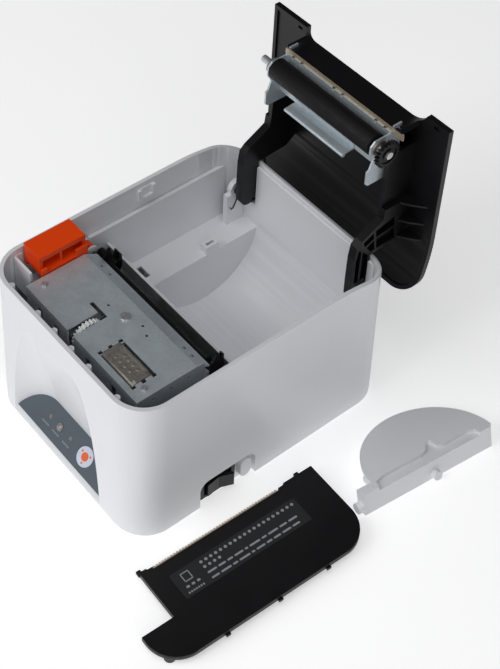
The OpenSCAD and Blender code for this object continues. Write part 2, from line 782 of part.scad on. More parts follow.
module cutter_cover() {
    z1 = steel_z;
    x0 = -49;
    x1 = 56;
    color(steel) difference() {
        along_x(x0, x1)
            polygon([[-81, 90], [-81, z1], [-40, z1], [-31.2, 98.6], [-31.8, 97.7], [-40.4, z1 - 1],
                [-80, z1 - 1], [-80, 90]]);
        // Opening over the thumb wheel, with its side slot, cut through to the front flange
        box([-8.2, -2.4], [-85, -58], [88, 110]);
        box([-16.5, -2.4], [-60, -57.4], [100, 110]);
        // Window over the cutter motor with its side notches
        box([16.6, 45.4], [-77.2, -60.8], [100, 110]);
        for (y = [-76, -69, -62]) {
            box([15, 17], [y - 1.4, y + 1.4], [100, 110]);
            box([45, 47.4], [y - 1.4, y + 1.4], [100, 110]);
        }
        // Small holes
        for (p = [[-9, -52], [15, -46], [22, -48.5]]) translate([p.x, p.y, 100]) cylinder(r = 0.9, h = 10);
        for (x = [-37, -29, 40, 47]) translate([x, -36.4, 95]) cylinder(r = 0.9, h = 12);
        for (p = cover_screws) translate([p.x, p.y, 98]) cylinder(r = 1.7, h = 10);
        // Cut-outs along the front flange
        for (x = [-38, -22, 8, 32]) box([x, x + 5], [-85, -79.5], [89, 97]);
    }
    color(steel) {
        difference() {
            box([x1 - 1, x1], [-80.5, -35], [88, z1 - 0.4]);
            for (p = [[-70, 99], [-58, 99], [-46, 99]])
                along_x(x1 - 2, x1 + 1) translate(p) circle(0.9);
        }
    }
}

module cutter_screws() {
    color([0.7, 0.7, 0.66])
        for (p = cover_screws) translate([p.x, p.y, steel_z]) screw(p.y > -60 ? 2.8 : 1.6, 1.1, 1.5, 2.4);
}

// Latch and release lever --------------------------------------------------------------------

module latch_shaft() {
    color(steel) rod(latch_axis, 2, -51.5, 56);
}

module hook_outline() {
    difference() {
        union() {
            at(latch_axis) circle(4);
            polygon([[-30, 64], [-22, 64], [-24.4, 74], [-25.4, 91], [-23.4, 93.2], [-23.2, 95.6],
                [-24.4, 101.8], [-25.8, 101.8], [-28.2, 98], [-30.8, 95.5], [-29.6, 90]]);
        }
        at(latch_axis) circle(2);
    }
}

module left_hook() {
    color(black) {
        along_x(-46.5, -44.9) hook_outline();
        // Broad head of the left hook
        along_x(-52, -46.4) polygon([[-30.2, 93], [-30.2, 95.5], [-28.2, 98.2], [-25.6, 98.2], [-23.6, 96],
            [-26, 93]]);

    }
}

module right_hook() {
    color(black) along_x(53.7, 55.3) hook_outline();
}

lever_x = [-67.8, -51.6];
lever_y = [-69.2, -37.2];
lever_top = 116.5;

module lever_bracket() {
    color(white) {
        box([-69, -52.5], [-76.2, -26], [84, 86]);
        box([-68.2, -51.6], [-76.2, -74.6], [85.9, 108.6]);
        box([-69, -68.2], [-74.7, -70.4], [85.9, 108.6]);
        difference() {
            for (x = [-65, -57.2])
                along_x(x, x + 1.6) {
                    translate([-35, 85.9]) square([9, lever_axis.y - 85.9]);
                    at(lever_axis) circle(4.4);
                }
            rod(lever_axis, 1.9 + run_gap, -80, -40);
        }
        for (y = [-62, -40]) translate([-64, y, foot_h + 2.5]) cylinder(r = 2.2, h = 84 - foot_h - 2);
    }
}

module release_lever() {
    shelf_z = 105.6;
    color(orange) difference() {
        union() {
            // Finger pad with its outer side wall
            box(lever_x, lever_y, [lever_top - 3.4, lever_top]);
            box([lever_x[0], lever_x[0] + 2.2], lever_y, [100, lever_top]);
            // End walls and the shelf below the pad, open towards the mechanism
            for (y = [lever_y[0], lever_y[1] - 2.2])
                box([lever_x[0], lever_x[1]], [y, y + 2.2], [102.4, lever_top]);
            box([lever_x[0], lever_x[1] + 2], lever_y, [shelf_z - 3, shelf_z]);
            box([lever_x[1] + 0.4, lever_x[1] + 2], [lever_y[0], lever_y[0] + 4], [shelf_z - 3, shelf_z + 2.4]);
            box([lever_x[1] + 0.4, lever_x[1] + 2], [lever_y[1] - 8, lever_y[1]], [shelf_z - 3, shelf_z + 4]);
            box([lever_x[0], lever_x[1]], [-55.2, -53.6], [shelf_z - 0.1, lever_top - 3]);
            // Skirt beside the mechanism
            box([lever_x[1] - 0.4, lever_x[1] + 1.4], [lever_y[0], lever_y[0] + 4.4], [94.6, shelf_z - 2]);
            box([lever_x[1] - 0.4, lever_x[1] + 1.4], [lever_y[0] + 4.3, lever_y[1]], [98.4, shelf_z - 2]);
            // Arm back to the pivot
            along_x(-63, -57.8) {
                polygon([[-44, shelf_z - 2.5], [-44, shelf_z], [-38, shelf_z], [-28, 95], [-32, 90.5]]);
                at(lever_axis) circle(4);
            }
        }
        rod(lever_axis, 1.9 + run_gap, -80, -50);
    }
}

module lever_pin() {
    color(steel) rod(lever_axis, 1.9, -65.8, -54.9);
}

module lever_spring() {
    color(steel) translate([-58, -60, 86.45]) wire(coil(3, 15.4, 5), 0.4);
}

// Lid ----------------------------------------------------------------------------------------

lid_rear = 93.3;
lid_front = -36.6;
lid_rear_r = 18;
lid_fall_r = 134;
lid_rim = 3.5;
lid_t = 2.4;
notch_x = [-43.5, 41];
notch_y = -27.3;
notch_r = [5, 15.2];
arm_x = 47;
arm_t = 5.5;
arm_web = 2.2;

// Plan of the lid, drawn in by g
module lid_plan(g) {
    r = lid_rear_r - g;
    w = lid_half_w - g;
    difference() {
        union() {
            translate([-w, lid_front + g]) square([2 * w, lid_rear - lid_front - g - r - g]);
            translate([-w + r, lid_rear - g - r - 5]) square([2 * (w - r), r + 5]);
            for (s = [-1, 1]) translate([s * (w - r), lid_rear - g - r]) circle(r);
        }
        lid_notch(g);
    }
}

// Notch in the free edge over the paper exit, grown by g, its corners swept out to the horns
module lid_notch(g) {
    depth = notch_y - lid_front + 10;
    translate([notch_x[0] - g, lid_front - 10])
        square([notch_x[1] - notch_x[0] + g, depth - notch_r[0]]);
    translate([notch_x[0] + notch_r[0], lid_front - 10])
        square([notch_x[1] - notch_x[0] - notch_r[0], depth + g]);
    translate([notch_x[0] + notch_r[0], notch_y - notch_r[0]]) circle(notch_r[0] + g);
    translate([notch_x[1], notch_y - notch_r[1]]) circle(notch_r[1] + g);
}

// Space under the lid's top face, lowered by g
module lid_profile(g) {
    along_x(-90, 90) {
        translate([-50, 60]) square([95 + thin, lid_top - g - 60]);
        intersection() {
            translate([45, lid_top - lid_fall_r]) circle(lid_fall_r - g, $fn = 96);
            translate([45, 60]) square([60, 80]);
        }
    }
}

// The arm seen from the side, in [y, z] of the open lid, measured from the hinge
module arm_outline() {
    circle(6);
    translate([3.4, -3.4]) circle(3);
    polygon([[-6, 0], [-6.2, 12], [-6, 30], [-4.8, 38.8], [-1.3, 42.4], [14.1, 50.9], [15, 58], [36.2, 58],
        [36.2, 34], [29, 28.2], [6.8, 26.8], [6.8, 0]]);
}

// The long wall beside the paper, which carries on from each arm
module side_wall_outline() {
    polygon([[14, 50.4], [14.8, 60], [15.6, 80], [15.8, 97], [36.2, 97], [36.2, 50.4]]);
}

// Pockets between the ribs on the outer face of each arm
module arm_pockets() {
    polygon([[0.2, 40.6], [7.6, 44.2], [8.4, 39], [1.6, 36]]);
    polygon([[9.2, 44.9], [23.4, 48.2], [24.2, 40.4], [10, 39.4]]);
    polygon([[3, 34.8], [8.7, 37.6], [9.8, 29.6], [7.4, 28.6]]);
    polygon([[10.2, 38], [24.4, 39], [25.8, 29.6], [11.2, 29.6]]);
    polygon([[-4, 9], [-4.4, 28], [-2.8, 36], [-1, 34], [-1, 9]]);
    polygon([[0.4, 9], [0.4, 33], [5, 27.6], [5, 9]]);
}

module lid_cover() {
    color(black) difference() {
        union() {
            lid_open() {
                // Thin shell with a deeper rim that rests over the housing
                difference() {
                    intersection() {
                        translate([0, 0, 98]) linear_extrude(20) lid_plan(0);
                        lid_profile(0);
                    }
                    lid_profile(lid_rim);
                    intersection() {
                        translate([0, 0, 90]) linear_extrude(30) lid_plan(2.6);
                        lid_profile(lid_t);
                    }
                }
                // Wall down from the notch to the fixed blade
                intersection() {
                    translate([0, 0, 98.7]) linear_extrude(15.6)
                        difference() {
                            lid_notch(2);
                            lid_notch(0);
                        }
                    difference() {
                        box([-44.5, 70], [-29.6, -20], [90, 120]);
                        // Slots for the ends of the platen bracket and its tab
                        box([side_l - 0.4, side_l + side_t + 0.4], [-40, 0], [90, 105.4]);
                        box([side_r - 0.4, side_r + side_t + 0.4], [-40, 0], [90, 105.4]);
                        box([side_r - 0.4, 49.5], [-40, 0], [101.2, 103.2]);
                    }
                }
                // Blocks that carry the platen bracket
                for (x = [-33, 35]) box([x - 6, x + 6], [-19, 3], [105.1, lid_top - lid_t + 0.1]);
                // Gussets from the arms to the lid
                for (s = [-1, 1], y = [26, 40, 53])
                    translate([0, y + 1.2, 0]) rotate([90, 0, 0]) linear_extrude(1.2)
                        polygon([[s * 52, 104], [s * 52, 113.8], [s * 65, 113.8], [s * 61, 110.4], [s * 57, 107]]);
            }
            for (s = [-1, 1]) {
                along_x(s > 0 ? arm_x : -arm_x - arm_t, s > 0 ? arm_x + arm_t : -arm_x)
                    at(hinge) arm_outline();
                along_x(s > 0 ? arm_x : -arm_x - arm_web, s > 0 ? arm_x + arm_web : -arm_x)
                    at(hinge) side_wall_outline();
            }
        }
        for (s = [-1, 1]) {
            // Blind bores for the hinge pins, ribbed pockets and a small hole at each arm's foot
            rod(hinge, pin_r + run_gap, s > 0 ? arm_x + 2.4 : -60, s > 0 ? 60 : -arm_x - 2.4);
            along_x(s > 0 ? arm_x + arm_web : -60, s > 0 ? 60 : -arm_x - arm_web) at(hinge) arm_pockets();
            along_x(s > 0 ? arm_x - 1 : -arm_x - 1.2, s > 0 ? arm_x + 1.2 : -arm_x + 1)
                at(hinge + [3.9, -3.9]) circle(1.1);
        }
        // Latch pockets in the two horns
        lid_open() for (x = [-50, 62]) box([x - 1.8, x + 1.8], [-34, -31], [112, 114.8]);
    }
}

module hinge_pins() {
    color(steel) for (s = [-1, 1]) {
        inner = arm_x + 2.6;
        outer = lug_x[1] + 0.2;
        rod(hinge, pin_r, s > 0 ? inner : -outer, s > 0 ? outer : -inner);
        rod(hinge, 4, s > 0 ? outer - 0.1 : -outer - 1.4, s > 0 ? outer + 1.4 : -outer + 0.1);
    }
    // Spacer on the right pin, where the left one has the spring
    color(steel) rod(hinge, 4, arm_x + arm_t + 0.3, lug_x[0] - 0.3);
}

// Torsion spring on the left hinge pin: its long leg reaches down beside the arm
module lid_spring() {
    turns = 3;
    steps = 12;
    r = 3.7;
    coil_points = [for (i = [0 : turns * steps])
        let (a = -160 + i * 360 / steps)
        [-53.4 - 2.9 * i / (turns * steps), hinge.x + r * cos(a), hinge.y + r * sin(a)]];
    leg = [[-53.4, 79.6, 74.4], [-53.7, 78.4, 70.4], [-54.2, 77.2, 66.4], [-54.8, 76.4, 65],
        [-55.6, 76, 66.2]];
    color(black) wire(concat([for (i = [len(leg) - 1 : -1 : 0]) leg[i]], coil_points), 0.5);
}

// Platen group -------------------------------------------------------------------------------

side_l = -42.7;
side_r = 43.5;
side_t = 1.2;
notch_pairs = [-36.6, -29.4, -2.1, 5.1, 32.4, 39.6];
bush_r = 4;
shaft_r = 2.3;

module bracket_side() {
    difference() {
        polygon([[-29.6, 105], [-29.6, 98.8], [-25.3, 98.8], [-25.3, 85.5], [-22.4, 82.6], [-16.4, 82.4],
            [-11.4, 85.6], [-5, 83.4], [-4, 81.8], [5, 81.8], [6.6, 83.6], [6.8, 98], [6.8, 105]]);
        at(platen) circle(bush_r + run_gap);
    }
}

module platen_bracket() {
    color(steel) lid_open() difference() {
        union() {
            along_x(side_l, side_l + side_t) bracket_side();
            along_x(side_r, side_r + side_t) bracket_side();
            box([side_l, side_r + side_t], [-24, 6.8], [104, 105]);
            // Front flange under the fixed blade
            box([side_l + 0.1, side_r + side_t - 0.1], [-26.6, -20.6], [96.3, 97.3]);
            // Rear flange below the roller, hung from a web
            box([side_l + 0.1, side_r + side_t - 0.1], [-8.6, -0.6], [92.6, 93.4]);
            box([side_l + 0.1, side_r + side_t - 0.1], [-1.5, -0.6], [92.6, 104.1]);
            // Tab that stands out past the right end
            box([side_r + 1, 49], [-27, -21], [101.6, 102.8]);
        }
        // Three pairs of notches along the front flange and a hole near each end of the rear one
        for (x = notch_pairs) box([x - 0.9, x + 0.9], [-30, -25], [96, 98]);
        for (x = [-24, 30]) translate([x, -6.3, 90]) cylinder(r = 1.4, h = 6);
    }
}

// Folded sheet that leads the paper up to the roller, with a bead along its free edge
module paper_guide() {
    color(steel) lid_open() along_x(-27, 23) {
        polygon([[-4.4, 91.7], [-4.4, 92.5], [-0.7, 92.5], [-0.5, 88], [0, 84.2], [-0.8, 84.2], [-1.4, 88],
            [-1.5, 91.7]]);
        translate([0.2, 84.4]) circle(1.2);
    }
}

module fixed_blade() {
    color([0.82, 0.78, 0.68]) lid_open() {
        difference() {
            box([-44, 53.2], [-28.7, -25.4], [97.35, 98.35]);
            for (x = notch_pairs) box([x - 1.2, x + 1.2], [-27, -25], [97, 99]);
        }
        box([side_l + side_t + 0.1, side_r - 0.1], [-25.41, -19], [97.35, 98.35]);
    }
}

module platen_bushings() {
    color([0.55, 0.5, 0.4]) lid_open() difference() {
        union() {
            rod(platen, bush_r, side_l - 0.2, side_l + side_t + 0.3);
            rod(platen, 5, side_l - 1.4, side_l - 0.1);
            rod(platen, bush_r, side_r - 0.3, side_r + side_t + 0.2);
            rod(platen, 5, side_r + side_t + 0.1, side_r + side_t + 1.4);
        }
        rod(platen, shaft_r + run_gap, -50, 50);
    }
}

module platen_shaft() {
    color(steel) lid_open() {
        rod(platen, 3, rubber_x - 0.5, rubber_x + platen_len + 0.4);
        rod(platen, shaft_r, -52, gear_x + gear_t + 1);
    }
}

module platen_roller() {
    color(black) lid_open() along_x(rubber_x, rubber_x + platen_len) at(platen) difference() {
        circle(platen_r);
        circle(3);
    }
}

module platen_gear() {
    color(black) lid_open() difference() {
        union() {
            along_x(gear_x, gear_x + gear_t) at(platen) rotate(platen_phase) gear_outline(platen_teeth);
            rod(platen, 4, gear_x - 1, gear_x + 0.1);
        }
        rod(platen, shaft_r, 40, 60);
        // Sunk ring in the outer face
        difference() {
            rod(platen, 6, gear_x + gear_t - 0.7, gear_x + gear_t + 1);
            rod(platen, 3.6, gear_x, gear_x + gear_t + 2);
        }
    }
}

// Loose front cover, drawn where it fits and laid on the table beside the housing --------------

cover_at = [120.5, -57];
cover_turn = 88;
cover_front = -93.3;
cover_rear = -36.9;
cover_half = 71.9;
cover_z = lid_top - lid_rim;

module on_table_cover() {
    translate([cover_at.x, cover_at.y, 0])
        rotate(cover_turn)
            translate([0, -(cover_front + cover_rear) / 2, cover_h - lid_top]) children();
}

// Plan of the front cover, drawn in by g
module cover_plan(g) {
    r = 20 - g;
    w = cover_half - g;
    difference() {
        union() {
            translate([-w, cover_front + 20]) square([2 * w, cover_rear - cover_front - 20 - g]);
            translate([-w + r, cover_front + g]) square([2 * (w - r), 20]);
            for (s = [-1, 1]) translate([s * (w - r), cover_front + g + r]) circle(r);
        }
        // Corner left open for the release lever
        translate([-80, lever_y[0] - 0.6 - g]) square([80 + lever_x[1] + 0.8 + g, 60]);
        // Set-back of the rear edge where the tear bar sits
        translate([-42.5 - g, cover_rear - 2.4 - g]) square([89 + 2 * g, 10]);
        translate([-46 - g, cover_rear - 1 - g]) square([97 + 2 * g, 10]);
    }
}

module front_cover() {
    z1 = lid_top;
    lip = 6.2;
    color(black) on_table_cover() {
        difference() {
            translate([0, 0, cover_z]) linear_extrude(lid_rim) cover_plan(0);
            translate([0, 0, cover_z - 1]) linear_extrude(lid_rim - 1.1) cover_plan(2.2);
            // Groove for the tear bar
            box([-42.1, 46.1], [cover_rear - 3.6, cover_rear], [z1 - 3.05, z1 - 2.15]);
        }
        // Inner lip that drops inside the housing
        translate([0, 0, z1 - cover_h]) linear_extrude(cover_h - 2) difference() {
            cover_plan(lip);
            cover_plan(lip + 1.6);
        }
        // Three small tongues on the front edge and a hook at the left corner
        for (x = [-32, 4, 38])
            box([x - 1.4, x + 1.4], [cover_front - 1.2, cover_front + 2], [cover_z - 0.6, cover_z + 1.2]);
        translate([-63.5, cover_front + 9.5, z1 - cover_h]) cylinder(r = 3.4, h = cover_h - 2);
        // The two tabs that slip into the lid
        for (x = [-50, 62])
            box([x - 1.4, x + 1.4], [cover_rear - 1, cover_rear + 2.2], [z1 - 3.4, z1 - 1.4]);
    }
}

module tear_bar() {
    color([0.6, 0.55, 0.45]) on_table_cover() translate([0, 0, lid_top - 3]) linear_extrude(0.8) {
        translate([-42, cover_rear - 3.5]) square([88, 2.85]);
        for (x = [-42 : 2 : 44]) translate([x, cover_rear - 0.7]) polygon([[0, 0], [2, 0], [1, 1.2]]);
    }
}

module cover_label() {
    color([0.16, 0.16, 0.17]) on_table_cover()
        translate([5.2, -57, lid_top]) linear_extrude(0.2) rounded(88, 17.4, 1.2);
}

// Loose paper divider, leaning on its spine and its round edge -------------------------------

divider_at = [138.5, 69];
divider_turn = -6.1;
plate_rad = 43;
divider_t = 2.2;
divider_lean = asin((spine_h - divider_t) / norm([plate_rad, spine_h - divider_t]));

// The scoops along the spine: a long one, and a short one that runs to a narrow tip
module divider_scoops() {
    polygon([[4, -36], [-2.4, -34], [-4.4, -28], [-4, 0], [-6, 5], [-11, 8.4], [-12.4, 10.6], [-10.6, 12.2],
        [-5, 12.6], [-3.4, 16], [-3.6, 34], [-2, 38], [4, 39]]);
}

module paper_divider() {
    color(white) translate([divider_at.x, divider_at.y, 0]) rotate(divider_turn)
        rotate([0, -divider_lean, 0]) {
            // Half-round plate
            translate([0, 0, spine_h - divider_t]) linear_extrude(divider_t) difference() {
                intersection() {
                    translate([0, 6]) circle(plate_rad, $fn = 96);
                    translate([-60, -60]) square([60.5, 120]);
                }
                divider_scoops();
            }
            // Sunk floor of the scoops
            box([-13, 0.1], [-36, 38], [spine_h - 6, spine_h - divider_t + 0.1]);
            // Spine with its end block
            difference() {
                box([0, 2.6], [-47, 47], [0, spine_h]);
                translate([0, 0, spine_h - 2.2]) linear_extrude(5) divider_scoops();
            }
            box([-4, 2.6], [-47, -38], [1.5, spine_h]);
            translate([-0.5, -50.5, 5]) rotate([-90, 0, 0]) cylinder(r = 3.4, h = 4);
            translate([2.5, 4, 3]) rotate([0, 90, 0]) cylinder(r = 3, h = 3.4);
        }
}

housing();
base_plate();
rubber_feet();
base_screws();
paper_bucket();
control_panel();
status_lenses();
panel_badge();
main_board();
interface_board();
power_inlet();
usb_port();
drawer_port();
switch_body();
power_rocker();
feed_button();
feed_switch();
button_spring();
mechanism_chassis();
guide_bar();
print_head();
head_heatsink();
head_springs();
feed_motor();
motor_pinion();
idler_gear();
idler_pin();
cutter_frame();
cutter_motor();
cutter_drive();
cutter_gear();
moving_blade();
cutter_cover();
cutter_screws();
latch_shaft();
left_hook();
right_hook();
lever_bracket();
release_lever();
lever_pin();
lever_spring();
hinge_pins();
lid_spring();
lid_cover();
platen_bracket();
paper_guide();
fixed_blade();
platen_bushings();
platen_shaft();
platen_roller();
platen_gear();
front_cover();
tear_bar();
cover_label();
paper_divider();
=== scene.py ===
"""Looks of the open receipt printer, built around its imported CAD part."""

import itertools
import json
import math

import bmesh
import bpy
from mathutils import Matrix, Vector


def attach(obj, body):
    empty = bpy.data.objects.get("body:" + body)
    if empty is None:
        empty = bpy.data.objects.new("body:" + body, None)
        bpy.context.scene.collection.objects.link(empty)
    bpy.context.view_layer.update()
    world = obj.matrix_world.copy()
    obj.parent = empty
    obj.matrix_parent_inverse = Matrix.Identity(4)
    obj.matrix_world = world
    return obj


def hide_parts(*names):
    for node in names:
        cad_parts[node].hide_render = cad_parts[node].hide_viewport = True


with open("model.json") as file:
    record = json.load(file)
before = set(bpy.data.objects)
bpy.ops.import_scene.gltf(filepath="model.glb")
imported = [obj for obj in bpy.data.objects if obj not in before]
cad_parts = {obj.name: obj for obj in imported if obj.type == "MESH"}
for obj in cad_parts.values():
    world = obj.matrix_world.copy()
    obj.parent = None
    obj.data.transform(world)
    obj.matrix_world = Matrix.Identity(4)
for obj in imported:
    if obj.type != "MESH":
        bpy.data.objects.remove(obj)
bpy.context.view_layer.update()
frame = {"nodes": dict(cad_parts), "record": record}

NODES = frame["nodes"]
SLOTS = {part["node"]: part["material_slot"] for part in frame["record"]["subparts"]}
BODY_OF = {
    node: body
    for body, members in frame["record"]["behaviour"]["bodies"].items()
    for node in members
}
MM = 0.001
# Noise textures keep most of their values between these two
NOISE_LOW, NOISE_HIGH = 0.25, 0.75


# Materials ----------------------------------------------------------------------------------


class Shade:
    """A Principled material and the few node chains that its surface needs."""

    def __init__(self, name, color, roughness, metallic=0.0, **sockets):
        self.material = bpy.data.materials.new(name)
        self.material.use_nodes = True
        self.tree = self.material.node_tree
        self.bsdf = self.tree.nodes["Principled BSDF"]
        self.color = (*color, 1.0)
        self.bsdf.inputs["Base Color"].default_value = self.color
        self.bsdf.inputs["Roughness"].default_value = roughness
        self.bsdf.inputs["Metallic"].default_value = metallic
        for socket, value in sockets.items():
            self.bsdf.inputs[socket.replace("_", " ")].default_value = value
        self.coords = self.node("ShaderNodeTexCoord").outputs["Object"]

    def node(self, kind, **settings):
        """A new node of the material, with its settings."""
        made = self.tree.nodes.new(kind)
        for key, value in settings.items():
            setattr(made, key, value)
        return made

    def link(self, source, target):
        self.tree.links.new(source, target)

    def placed(self, stretch):
        """The object's coordinates, stretched along each axis."""
        mapping = self.node("ShaderNodeMapping")
        mapping.inputs["Scale"].default_value = stretch
        self.link(self.coords, mapping.inputs["Vector"])
        return mapping.outputs["Vector"]

    def noise(self, size, detail=2.0, stretch=(1, 1, 1)):
        """Noise whose features are about size metres across."""
        made = self.node("ShaderNodeTexNoise")
        made.inputs["Scale"].default_value = 1 / size
        made.inputs["Detail"].default_value = detail
        self.link(self.placed(stretch), made.inputs["Vector"])
        return made.outputs["Fac"]

    def cells(self, size):
        """Flat random values over cells about size metres across."""
        made = self.node("ShaderNodeTexVoronoi", feature="F1")
        made.inputs["Scale"].default_value = 1 / size
        self.link(self.coords, made.inputs["Vector"])
        split = self.node("ShaderNodeSeparateColor")
        self.link(made.outputs["Color"], split.inputs["Color"])
        return split.outputs[0]

    def spread(self, value, low, high):
        """Maps a value's middle stretch to the range low to high."""
        made = self.node("ShaderNodeMapRange")
        made.inputs["From Min"].default_value = NOISE_LOW
        made.inputs["From Max"].default_value = NOISE_HIGH
        made.inputs["To Min"].default_value = low
        made.inputs["To Max"].default_value = high
        self.link(value, made.inputs["Value"])
        return made.outputs["Result"]

    def tint(self, value, amount):
        """Varies the base colour's brightness by plus or minus amount."""
        made = self.node("ShaderNodeMix", data_type="RGBA", blend_type="MULTIPLY")
        made.inputs["Factor"].default_value = 1.0
        made.inputs["A"].default_value = self.color
        grey = self.node("ShaderNodeCombineColor")
        level = self.spread(value, 1 - amount, 1 + amount)
        for channel in range(3):
            self.link(level, grey.inputs[channel])
        self.link(grey.outputs["Color"], made.inputs["B"])
        self.link(made.outputs["Result"], self.bsdf.inputs["Base Color"])
        return self

    def blend(self, value, other):
        """Mixes the base colour with another where value is high."""
        made = self.node("ShaderNodeMix", data_type="RGBA")
        place = self.node("ShaderNodeMapRange")
        self.link(value, place.inputs["Value"])
        self.link(place.outputs["Result"], made.inputs["Factor"])
        made.inputs["A"].default_value = self.color
        made.inputs["B"].default_value = (*other, 1.0)
        self.link(made.outputs["Result"], self.bsdf.inputs["Base Color"])
        return self

    def sheen_of(self, value, low, high):
        """Varies the roughness between low and high."""
        self.link(self.spread(value, low, high), self.bsdf.inputs["Roughness"])
        return self

    def bump(self, value, depth):
        """Raises the surface by depth metres where value is high."""
        made = self.node("ShaderNodeBump")
        made.inputs["Distance"].default_value = depth
        self.link(value, made.inputs["Height"])
        self.link(made.outputs["Normal"], self.bsdf.inputs["Normal"])
        return self


def moulded(name, color, roughness, grain=0.9 * MM, depth=0.012 * MM, mottle=0.02, **sockets):
    """Moulded plastic: a fine even grain, slightly uneven gloss and tone."""
    shade = Shade(name, color, roughness, **sockets)
    shade.tint(shade.noise(60 * MM, 3), mottle)
    shade.sheen_of(shade.noise(18 * MM, 4), roughness - 0.05, roughness + 0.06)
    shade.bump(shade.noise(grain, 3), depth)
    return shade.material


def sheet_metal(name, color, roughness, spangle=1.6 * MM, contrast=0.07, metallic=0.92):
    """Galvanised sheet: faint crystal spangle over a fine rolled grain."""
    shade = Shade(name, color, roughness, metallic=metallic)
    shade.tint(shade.cells(spangle), contrast)
    shade.sheen_of(shade.noise(9 * MM, 5), roughness - 0.08, roughness + 0.1)
    shade.bump(shade.noise(0.5 * MM, 4, stretch=(0.12, 1, 1)), 0.01 * MM)
    return shade.material


def turned_metal(name, color, roughness, metallic=1.0):
    """Drawn or turned metal with fine lines round it."""
    shade = Shade(name, color, roughness, metallic=metallic)
    shade.tint(shade.noise(0.35 * MM, 3, stretch=(1, 0.08, 0.08)), 0.06)
    shade.sheen_of(shade.noise(5 * MM, 4), roughness - 0.07, roughness + 0.09)
    shade.bump(shade.noise(0.25 * MM, 2, stretch=(1, 0.05, 0.05)), 0.006 * MM)
    return shade.material


def soft_rubber(name, color, roughness, grain=0.35 * MM):
    """Ground or moulded rubber with a dusty, even surface."""
    shade = Shade(name, color, roughness, Specular_IOR_Level=0.22)
    shade.tint(shade.noise(7 * MM, 5), 0.18)
    shade.sheen_of(shade.noise(3 * MM, 4), roughness - 0.08, roughness + 0.08)
    shade.bump(shade.noise(grain, 4), 0.02 * MM)
    return shade.material


TRACK_GAIN = 1.9


def circuit_board(name, color):
    """Solder mask with faint raised tracks, which are lighter than the rest."""
    shade = Shade(name, color, 0.35, Coat_Weight=0.3)
    tracks = shade.node("ShaderNodeTexBrick")
    tracks.inputs["Scale"].default_value = 1 / (14 * MM)
    tracks.inputs["Mortar Size"].default_value = 0.03
    shade.link(shade.coords, tracks.inputs["Vector"])
    shade.blend(tracks.outputs["Fac"], [TRACK_GAIN * c for c in color])
    shade.bump(tracks.outputs["Fac"], 0.03 * MM)
    return shade.material


def clear_lens(name, color):
    """Small moulded light guide, faintly frosted."""
    shade = Shade(name, color, 0.18, Coat_Weight=0.6, Subsurface_Weight=0.25)
    shade.bsdf.inputs["Subsurface Radius"].default_value = (1 * MM, 0.6 * MM, 0.6 * MM)
    shade.tint(shade.noise(1.2 * MM, 2), 0.06)
    shade.bump(shade.noise(0.6 * MM, 2), 0.01 * MM)
    return shade.material


FINISH = {
    "white_plastic": moulded(
        "white_abs", (0.79, 0.80, 0.83), 0.36, depth=0.008 * MM, mottle=0.012, Coat_Weight=0.06
    ),
    "black_plastic": moulded(
        "black_abs", (0.0042, 0.0040, 0.0050), 0.4, grain=0.7 * MM, depth=0.02 * MM,
        mottle=0.15, Specular_IOR_Level=0.27,
    ),
    "orange_plastic": moulded(
        "orange_abs", (0.92, 0.066, 0.003), 0.32, grain=1.4 * MM, mottle=0.03,
        Specular_IOR_Level=0.35,
    ),
    "slate_label": moulded("slate_film", (0.078, 0.10, 0.122), 0.4, grain=0.5 * MM),
    "white_gear_plastic": moulded("white_acetal", (0.76, 0.77, 0.77), 0.4, grain=0.5 * MM),
    "galvanised_steel": sheet_metal(
        "galvanised_sheet", (0.60, 0.665, 0.705), 0.42, contrast=0.03, metallic=0.6
    ),
    "bright_steel": turned_metal("plated_steel", (0.60, 0.61, 0.63), 0.3, metallic=0.75),
    "dark_steel": sheet_metal(
        "dull_sheet", (0.27, 0.25, 0.225), 0.42, 0.9 * MM, 0.14, metallic=0.5
    ),
    "spring_wire": turned_metal("spring_wire", (0.04, 0.04, 0.045), 0.36),
    "aluminium_sink": turned_metal("plain_aluminium", (0.62, 0.63, 0.65), 0.42),
    "ceramic": moulded("glazed_ceramic", (0.055, 0.04, 0.03), 0.16, Coat_Weight=0.5),
    "circuit_board": circuit_board("solder_mask", (0.01, 0.09, 0.04)),
    "foot_rubber": soft_rubber("foot_rubber", (0.02, 0.02, 0.02), 0.78),
    "roller_rubber": soft_rubber("roller_rubber", (0.005, 0.005, 0.006), 0.58),
    "lens": clear_lens("tinted_lens", (0.25, 0.22, 0.22)),
    "badge": moulded("badge_film", (0.62, 0.66, 0.78), 0.3, Coat_Weight=0.3),
    "blade_steel": sheet_metal(
        "warm_blade_steel", (0.60, 0.50, 0.37), 0.36, 0.8 * MM, 0.05, metallic=0.6
    ),
}
# The cover's label is darker than the panel's film, and the marks on both are pale or orange ink
COVER_FILM = moulded(
    "cover_film", (0.016, 0.0165, 0.018), 0.45, grain=0.5 * MM, mottle=0.1, Specular_IOR_Level=0.35
)
PALE_INK = moulded("pale_ink", (0.30, 0.31, 0.33), 0.5, grain=0.5 * MM)
ORANGE_INK = moulded("orange_ink", (0.80, 0.13, 0.02), 0.4, grain=0.5 * MM)


# Edges of the moulded and pressed parts ---------------------------------------------------------

# Corners closer than this are one, faces that meet flatter than this are one, and edges that are
# sharper than this are rounded
WELD_DISTANCE = 2e-6
FLAT_ANGLE = math.radians(0.4)
SHARP_ANGLE = math.radians(32)


def finished_mesh(obj):
    """The object's mesh with its modifiers applied."""
    bpy.context.view_layer.update()
    depsgraph = bpy.context.evaluated_depsgraph_get()
    return bpy.data.meshes.new_from_object(obj.evaluated_get(depsgraph))


